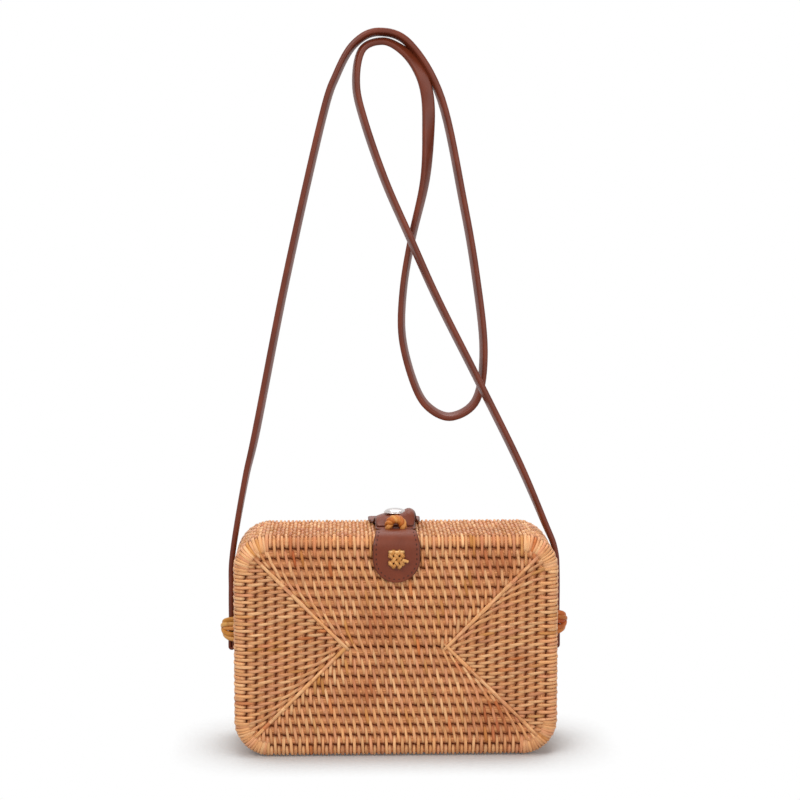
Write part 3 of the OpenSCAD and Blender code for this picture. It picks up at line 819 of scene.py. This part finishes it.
front_spots = over_edge(-1, front_half_w)
for y, rise in front_rises:
    tip_half = math.sqrt(front_tip_r ** 2 - min((y - front_tip_y) ** 2, front_tip_r ** 2 - 1))
    front_spots.append((y, top_z + stud_rise * rise, min(front_half_w, tip_half)))
front_strip = make_piece("front_tab_leather", [leather_strip(front_spots, -1)], tab_leather)
front_thread = make_piece("front_tab_stitches", tab_stitches(-1, front_half_w), waxed_thread)
for piece in (front_strip, front_thread):
    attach(piece, "front")
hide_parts("front_tab")


# Back tab: the same leather, wider, sewn to the back tray; beyond its flex line it runs on as the flap.
# It rises over the stud, sags at its edges and puckers right of the cap; its thinned tip droops in front.

back_half_w = 16.5
flap_half_w = 15.0
flap_rise = 7.0
flex_y = 14.0
flap_end_y = -16.0
lift_reach = 6.0
sag = 3.0
lopside = 1.2
pucker = 2.5
pucker_x = 4.5
pucker_reach = 5.0
tip_thick = 0.7
root_spots = [(22.0, 0, 16.5), (17.5, 0, 16.2), (15.2, 0, 15.7), (14.2, 0, 15.2)]
flap_spots = [(13.0, 0.1, 14.9), (11.5, 0.25, 14.5), (9.5, 0.45, 14.0), (7.5, 0.65, 13.6), (5.5, 0.86, 13.2),
              (3.5, 0.97, 12.8), (1.5, 1.0, 12.5), (-1.0, 1.0, 12.4), (-4.0, 1.0, 12.4), (-7.0, 1.0, 12.3)]
tip_spots = [(-9.0, 0.93, 12.3), (-10.8, 0.77, 12.3), (-12.3, 0.58, 12.2), (-13.6, 0.42, 11.9),
             (-14.7, 0.29, 11.4), (-15.6, 0.22, 10.4)]
back_spots = over_edge(1, back_half_w)
back_spots += [(y, top_z + flap_rise * rise, half) for y, rise, half in root_spots + flap_spots + tip_spots]
skived = [leather_thick] * (len(back_spots) - len(tip_spots))
skived += list(np.linspace(leather_thick, tip_thick, len(tip_spots)))
flap = leather_strip(back_spots, 1, skived)
x, y, z = flap["points"].T
lifted = np.clip((flex_y - y) / lift_reach, 0, 1) * np.clip((y - flap_end_y) / lift_reach, 0, 1)
puckered = np.sin(np.clip((x - pucker_x) / pucker_reach, 0, 2) * math.pi / 2)
bent = lopside * x / flap_half_w - sag * (x / flap_half_w) ** 2 + pucker * puckered
flap["points"][:, 2] += lifted * bent
back_strip = make_piece("back_tab_leather", [flap], tab_leather)
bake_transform(back_strip)
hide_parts("back_tab_anchor", "back_tab_flap")
back_thread = make_piece("back_tab_stitches", tab_stitches(1, back_half_w), waxed_thread)
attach(back_thread, "back")


# Press stud: a spun nickel cap riveted through the flap, with its socket below and the stud on the front tab.
# The cap has a rolled rim; the parts that only show when the flap is up keep their turned shapes.

snap_y = -3.0
cap_base_z = 147.3
cap_r = 7.0
cap_h = 2.8
shank_r = 1.5
rim_h = 0.75
rim_spots = [(0.35, 0), (0.05, 0.2), (0, 0.5), (0.1, 0.85), (0.4, 1)]
dome_in = 0.5
dome_angles = (12, 24, 36, 48, 60, 70, 80, 86, 89)
lathe_count = 48


def lathe(y, outline):
    """Closed turned shape about an upright axis from points of radius and height"""
    angles = np.arange(lathe_count) * 2 * math.pi / lathe_count
    points = []
    marks = []
    for radius, z in outline:
        points += [(radius * math.cos(f), y + radius * math.sin(f), z) for f in angles]
        marks += [(f * radius, radius, z) for f in angles]
    faces = [face[::-1] for face in ring_faces(len(outline), lathe_count)]
    return {"points": np.array(points), "faces": faces, "marks": np.array(marks)}


# Polished nickel: a bright warm grey mirror, clouded by hazy fingermarks.
polished_nickel, shader = finish_of("polished_nickel", 0.2, 0.5)
node = partial(add_node, polished_nickel)
shader.inputs["Metallic"].default_value = 1.0
haze_mm = 5.55556
place = node("TexCoord").outputs["Object"]
haze = node("TexNoise", {"Vector": place, "Scale": 1 / (haze_mm * mm), "Detail": 4.0})
dull = node("MapRange", {"Value": haze, 1: 0.35, 2: 0.7, 3: 0.14, 4: 0.34})
feed(polished_nickel, dull, shader.inputs["Roughness"])
tone = node("Mix", {0: haze, 6: linear("#BDB6B4"), 7: linear("#DAD5D3")}, data_type="RGBA")
feed(polished_nickel, tone, shader.inputs["Base Color"])
bump = node("Bump", {"Strength": 0.08, "Distance": 0.2 * mm, "Height": haze})
feed(polished_nickel, bump, shader.inputs["Normal"])

cap_outline = [(shank_r, cap_base_z - leather_thick), (shank_r, cap_base_z)]
cap_outline += [(cap_r - inset, cap_base_z + rim_h * share) for inset, share in rim_spots]
for angle in np.radians(dome_angles):
    dome_z = cap_base_z + rim_h + (cap_h - rim_h) * math.sin(angle)
    cap_outline.append(((cap_r - dome_in) * math.cos(angle), dome_z))
cap = make_piece("snap_cap_dome", [lathe(snap_y, cap_outline)], polished_nickel)
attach(cap, "flap")
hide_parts("snap_cap")
for name in ("snap_socket", "snap_stud", "snap_post"):
    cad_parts[name].material_slots[0].material = polished_nickel


# Face knots: uneven squares of pale split vine, whose slanting strands are plaited over and under on the tab.
# One end is left standing out at the right.

plait_y = 39.9
plait_half_w = 4.4
plait_half_h = 5.3
plait_pitch = 2.8
plait_offs = (-1.5, -0.5, 0.5, 1.5)
plait_jitter = 0.2
plait_lean = math.radians(38.0)
plait_w = 1.9
plait_thick = 1.5
plait_wave = 0.7
plait_sunk = 1.7
plait_rings = 17
plait_tones = ["#E3B97C", "#D7A463", "#C8904F"]
# Painted shade: how far the plait strands' ends darken where they tuck in
plait_end_shade = 0.5
top_strand_in = 0.8
loose_start = (3.4, 0.2, -0.2)
loose_run = (3.7, -0.5, -1.2)
loose_w = (2.2, 1.7)
loose_thick = 1.4
knot_count = 10
knot_square = 2.4
knot_spread = (0.88, 1.06)
dark_power = 8


def vine(line, ups, width, thick, tone, shaded_ends=0.0):
    """One strand of a knot along a line, with a slight change of tone and its ends faded to painted shade
    where they go in
    """
    part = sweep(line, ups, width, thick, knot_count, knot_square)
    colour = np.array(linear(tone)) * random.uniform(*knot_spread)
    colour[3] = 1.0
    return paint(part, colour, np.abs(np.linspace(-1, 1, len(line))) ** dark_power * shaded_ends)


def face_knot(facing):
    """Strands slanting both ways and cut at the edge of the knot, a top strand and a loose end"""
    parts = []
    share = np.linspace(-1, 1, plait_rings)
    up = np.tile([0.0, facing, 0.0], (plait_rings, 1))
    sink = plait_sunk * np.abs(share) ** dark_power
    for side in (-1, 1):
        way = np.array((side * math.sin(plait_lean), math.cos(plait_lean)))
        beside = np.array((way[1], -way[0]))
        for i in plait_offs:
            middle = beside * (i * plait_pitch + random.uniform(-plait_jitter, plait_jitter))
            edges = zip((plait_half_w, plait_half_h), middle, way)
            ends = [sorted(((-half - m) / w, (half - m) / w)) for half, m, w in edges]
            run = np.linspace(max(e[0] for e in ends), min(e[1] for e in ends), plait_rings)
            crossed = i * math.cos(2 * plait_lean) + side * run / plait_pitch * math.sin(2 * plait_lean)
            over = side * plait_wave * np.sin(math.pi * crossed) * math.sin(math.pi * i)
            z = tab_end_z + middle[1] + way[1] * run
            line = np.stack([middle[0] + way[0] * run, facing * (plait_y + over - sink), z], axis=1)
            parts.append(vine(line, up, plait_w, plait_thick, random.choice(plait_tones), plait_end_shade))
    top = np.full(plait_rings, tab_end_z + plait_half_h - top_strand_in)
    line = np.stack([share * plait_half_w, facing * (plait_y - sink), top], axis=1)
    parts.append(vine(line, up, plait_w, plait_thick, plait_tones[0], plait_end_shade))
    x, y, z = np.linspace(loose_start, np.add(loose_start, loose_run), plait_rings).T
    line = np.stack([x, facing * (plait_y + y), tab_end_z + z], axis=1)
    parts.append(vine(line, up, np.linspace(*loose_w, plait_rings), loose_thick, plait_tones[1]))
    return parts


for body, facing in trays.items():
    knot = make_piece(body + "_plaited_knot", face_knot(facing), split_rattan)
    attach(knot, body)
    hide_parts(body + "_knot_lower")


# Arched knots: three thick orange strands braided into a low arch over the leather at each top edge.
# Their ends go down through the leather and the weave.

arch_strand = 2.9
braid_high = 1.2
braid_deep = 3.0
braid_turns = 2.3
arch_sunk = 1.5
arch_power = 0.6
arch_rings = 37
# Painted shade: how far the arch strands' ends darken where they go down
arch_end_shade = 0.5
arch_tones = ["#C27A38", "#D29450", "#B86A2C"]
arch_base_z = bag_h + tab_gap + leather_thick
arches = {"front": (-20.5, 4.5, 5.6), "back": (23.4, 3.0, 2.6)}


def arched_knot(y, half, rise):
    """Three strands wound about one arch, a third of a turn apart"""
    parts = []
    share = np.linspace(0, 1, arch_rings)
    angles = math.pi * (1 - share)
    ups = np.tile([0.0, 1.0, 0.0], (arch_rings, 1))
    for i, tone in enumerate(arch_tones):
        phase = 2 * math.pi * (braid_turns * share + i / len(arch_tones))
        high = braid_high * np.sin(phase)
        x = (half + high) * np.cos(angles)
        z = arch_base_z - arch_sunk + (rise + arch_sunk + high) * np.sin(angles) ** arch_power
        line = np.stack([x, y + braid_deep * np.cos(phase), z], axis=1)
        parts.append(vine(line, ups, arch_strand, arch_strand, tone, arch_end_shade))
    return parts


for body, arch in arches.items():
    knot = make_piece(body + "_arched_knot", arched_knot(*arch), split_rattan)
    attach(knot, body)
    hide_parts(body + "_knot_upper")


# Side knots: five slanting loops of split vine round each strap end, tied through the back tray's side wall.
# The loops cross behind the strap; the left knot is straw yellow and the right one red.

strap_back = 12.0
knot_z = 74.0
loop_r = 6.4
loop_strand = 3.1
loop_gap = 1.1
loop_sunk = 1.5
loop_rings = 17
# Painted shade: how far the loops' ends darken where they go into the wall
loop_end_shade = 0.4
loop_lays = [(2.9, -3.4, 0.1), (0.9, -2.6, 1.0), (-0.3, -0.9, -0.2), (-1.0, 2.4, 0.7), (-2.9, 3.4, -0.1)]
knot_tones = {"left": ["#CE9440", "#DBA860", "#C98A4A"], "right": ["#BE6A33", "#C67B3F", "#B2562B"]}
knot_shifts = {"left": -1.8, "right": 1.6}
for name, side in (("left", -1), ("right", 1)):
    loops = []
    tones = knot_tones[name]
    angles = np.linspace(-math.pi / 2, math.pi / 2, loop_rings)
    across = np.concatenate([[-loop_r] * 2, loop_r * np.sin(angles), [loop_r] * 2])
    ups = np.tile([0.0, 0.0, 1.0], (len(across), 1))
    leg = [half_w - loop_sunk, half_w]
    for i, (height, slope, bulge) in enumerate(loop_lays):
        out = np.concatenate([leg, half_w + loop_gap + bulge + loop_r * np.cos(angles), leg[::-1]])
        z = knot_z + knot_shifts[name] + height + slope * across / loop_r
        line = np.stack([side * out, strap_back + across, z], axis=1)
        loops.append(vine(line, ups, loop_strand, loop_strand, tones[i % len(tones)], loop_end_shade))
    knot = make_piece("side_knot_" + name, loops, split_rattan)
    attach(knot, "back")
    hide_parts("strap_knot_" + name)


# Folded strap ends: below each side knot the leather of the strap turns back on itself in a tight fold.
# The loops of the knot hold its plies together.

strap_reach = 102.9
strap_wide = 8.0
strap_thick = 3.6
strap_square = 4.5
fold_z = 60.2
fold_rings = 13
fold_count = 20
ply_heights = [73.5, 69.0, 65.0]
ply_thick = 2.2
ply_off = 1.08
fold_mid_r = 1.12

# Strap leather: darker red-brown hide, polished by handling, with close grain and long tonal drifts.
strap_leather, shader = finish_of("strap_leather", 0.36, 0.3)
node = partial(add_node, strap_leather)
grain_mm = 0.9
drift_mm = 17.0
marks = node("Attribute", attribute_name="marks").outputs["Vector"]
grain = node("TexNoise", {"Vector": marks, "Scale": 1 / grain_mm, "Detail": 4.0})
drift = node("TexNoise", {"Vector": marks, "Scale": 1 / drift_mm, "Detail": 2.0})
hide = node("Mix", {0: drift, 6: linear("#4E1E10"), 7: linear("#803A22")}, data_type="RGBA")
feed(strap_leather, hide, shader.inputs["Base Color"])
bump = node("Bump", {"Strength": 0.3, "Distance": 0.3 * mm, "Height": grain})
feed(strap_leather, bump, shader.inputs["Normal"])

for name, side in (("left", -1), ("right", 1)):
    angles = np.linspace(0, math.pi, fold_rings)
    offs = np.full(len(ply_heights), ply_off)
    out = np.concatenate([offs, fold_mid_r * np.cos(angles), -offs])
    z = np.concatenate([ply_heights, fold_z - fold_mid_r * np.sin(angles), ply_heights[::-1]])
    line = np.stack([side * (strap_reach + out), np.full(len(z), strap_back), z], axis=1)
    runs = np.gradient(line, axis=0)
    ups = np.stack([-runs[:, 2], 0 * runs[:, 1], runs[:, 0]], axis=1)
    plies = sweep(line, ups, strap_wide, ply_thick, fold_count, strap_square)
    fold_end = make_piece("strap_fold_" + name, [plies], strap_leather)
    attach(fold_end, "back")
    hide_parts("strap_end_" + name)


# Shoulder strap: one long strip of folded leather, dark brown, with painted edges.
# It hangs limp from the side knots, and its bight turns broadside once on the way.

strap_rise = 370.0
strap_drape = 10.0
route_shares = [
    (-1, 0, 0), (-1, 0, 0.06), (-0.99, 0, 0.125), (-0.91, 0, 0.25), (-0.84, -0.1, 0.335),
    (-0.655, -0.2, 0.59), (-0.435, -0.3, 0.855), (-0.345, -0.4, 0.93),
    (-0.24, -0.4, 0.98), (-0.095, -0.4, 1), (0.09, -0.4, 0.98), (0.28, -0.3, 0.89),
    (0.415, -0.1, 0.72), (0.495, 0.1, 0.595), (0.545, 0.2, 0.47), (0.505, 0.4, 0.385),
    (0.355, 0.4, 0.355), (0.215, 0.4, 0.37), (0.125, 0.4, 0.41), (0.05, 0.3, 0.49),
    (0.055, 0.2, 0.57), (0.105, 0.2, 0.655), (0.185, 0, 0.755), (0.205, -0.2, 0.845),
    (0.195, -0.3, 0.9), (0.145, -0.4, 0.94), (0.05, -0.4, 0.97), (-0.07, -0.4, 0.985),
    (-0.195, -0.5, 0.97), (-0.23, -0.7, 0.915), (-0.185, -0.8, 0.855), (-0.06, -0.9, 0.755),
    (0.09, -0.9, 0.66), (0.26, -0.9, 0.555), (0.505, -0.9, 0.42), (0.755, -0.6, 0.28),
    (0.92, -0.2, 0.175), (0.985, -0.1, 0.13), (1, 0, 0.085), (1, 0, 0),
]
route_scale = np.array((strap_reach, strap_drape, strap_rise))
route_start = np.array((0.0, strap_back, knot_z))
route_steps = 8
strap_count = 16
base_turn = math.radians(17.0)
base_from = 2.0
base_over = 2.0
twist_at = 24.0
twist_reach = 1.6
twist_turn = math.radians(67.0)


def smooth_route(points, steps):
    """Points on one smooth curve through the given ones"""
    line = []
    last = len(points) - 1
    for i in range(last):
        a, b, c, d = (points[max(0, min(last, i + k))] for k in (-1, 0, 1, 2))
        for step in range(steps):
            t = step / steps
            bend = (2 * a - 5 * b + 4 * c - d) + t * (3 * b - a - 3 * c + d)
            line.append(b + t / 2 * ((c - a) + t * bend))
    line.append(points[last])
    return np.array(line)


route = [route_start + route_scale * share for share in np.array(route_shares)]
strap_line = smooth_route(route, route_steps)
runs = np.gradient(strap_line, axis=0)
runs /= np.linalg.norm(runs, axis=1)[:, None]
depthwise = np.array([0.0, 1.0, 0.0]) - runs[:, 1:2] * runs
depthwise /= np.linalg.norm(depthwise, axis=1)[:, None]
sidewise = np.cross(runs, depthwise)
place = np.arange(len(strap_line)) / route_steps
turn = base_turn * np.clip((np.minimum(place, place[::-1]) - base_from) / base_over, 0, 1)
turn += twist_turn * np.exp(-((place - twist_at) / twist_reach) ** 2)
strap_ups = sidewise * np.cos(turn)[:, None] + depthwise * np.sin(turn)[:, None]
strap = sweep(strap_line, strap_ups, strap_wide, strap_thick, strap_count, strap_square)
shoulder_strap = make_piece("shoulder_strap_leather", [strap], strap_leather)
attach(shoulder_strap, "back")
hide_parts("shoulder_strap")


# Floor: a pale sheet that takes the bag's shadow, showing only close to the bag as a painted shade veil and
# clear further out, so that the opened tray, which swings below the base, still shows through it.

floor_half = 3.0
veil_reach = 0.045
veil_most = 0.92
veil_full_at = 0.5
floor_mesh = bpy.data.meshes.new("floor")
floor_corners = [(x * floor_half, y * floor_half, 0) for x, y in ((-1, -1), (1, -1), (1, 1), (-1, 1))]
floor_mesh.from_pydata(floor_corners, [], [(0, 1, 2, 3)])
floor = bpy.data.objects.new("floor", floor_mesh)
bpy.context.scene.collection.objects.link(floor)

# Shade veil: matt pale grey that takes the real shadow, laid on as painted shade where ambient occlusion
# finds the bag close.
shade_veil_sheet, shader = finish_of("shade_veil_sheet", 0.9, 0.0)
node = partial(add_node, shade_veil_sheet)
shader.inputs["Base Color"].default_value = linear("#C4C1BF")
nearness = node("AmbientOcclusion", {"Distance": veil_reach}, samples=16).outputs["AO"]
veil_share = node("MapRange", {"Value": nearness, 1: 1.0, 2: veil_full_at, 3: 0.0, 4: veil_most})
clear = node("BsdfTransparent")
blended = node("MixShader", {0: veil_share, 1: clear, 2: shader})
feed(shade_veil_sheet, blended, shade_veil_sheet.node_tree.nodes["Material Output"].inputs["Surface"])
floor_mesh.materials.append(shade_veil_sheet)


# Studio light: three soft boxes, in a white room that is seen at full strength and lights at half.
# The key stands at the left, the fill low at the right, and the third lamp above and behind.

room_light = 0.5
aim_z = 0.1


def soft_box(name, place, size, watts):
    """Square area lamp aimed at the bag"""
    lamp = bpy.data.lights.new(name, "AREA")
    lamp.size = size
    lamp.energy = watts
    holder = bpy.data.objects.new(name, lamp)
    holder.location = place
    x, y, z = np.array((0.0, 0.0, aim_z)) - np.array(place)
    holder.rotation_euler = (math.atan2(math.hypot(x, y), -z), 0, math.atan2(x, -y) + math.pi)
    bpy.context.scene.collection.objects.link(holder)


soft_box("key_light", (-0.9, -1.3, 1.5), 1.0, 20.5)
soft_box("fill_light", (1.0, -1.5, 0.6), 1.4, 11.5)
soft_box("top_light", (0.1, 0.6, 1.8), 1.2, 16.0)
world = bpy.data.worlds.new("white_room")
bpy.context.scene.world = world
world.use_nodes = True
background = world.node_tree.nodes["Background"]
background.inputs["Color"].default_value = linear("#FFFFFF")
rays = add_node(world, "LightPath").outputs
seen = add_node(world, "Math", {0: rays["Is Camera Ray"], 1: rays["Is Glossy Ray"]}, operation="MAXIMUM")
bright = add_node(world, "Math", {0: seen, 1: rays["Is Transmission Ray"]}, operation="MAXIMUM")
level = add_node(world, "MapRange", {"Value": bright, 3: room_light, 4: 1.0})
feed(world, level, background.inputs["Strength"])


# Camera: a little to the left and above, as in the photograph.
# A long lens stands far back, so that the sides of the bag hardly narrow.

lens = bpy.data.cameras.new("camera")
lens.lens = 94.58
lens.sensor_width = 36.0
camera = bpy.data.objects.new("camera", lens)
camera.location = (-0.0340, -1.29956, 0.34838)
camera.rotation_euler = (math.radians(90 - 5.751), 0, math.radians(-1.64))
bpy.context.scene.collection.objects.link(camera)
bpy.context.scene.camera = camera
bpy.context.scene.view_settings.view_transform = "Standard"
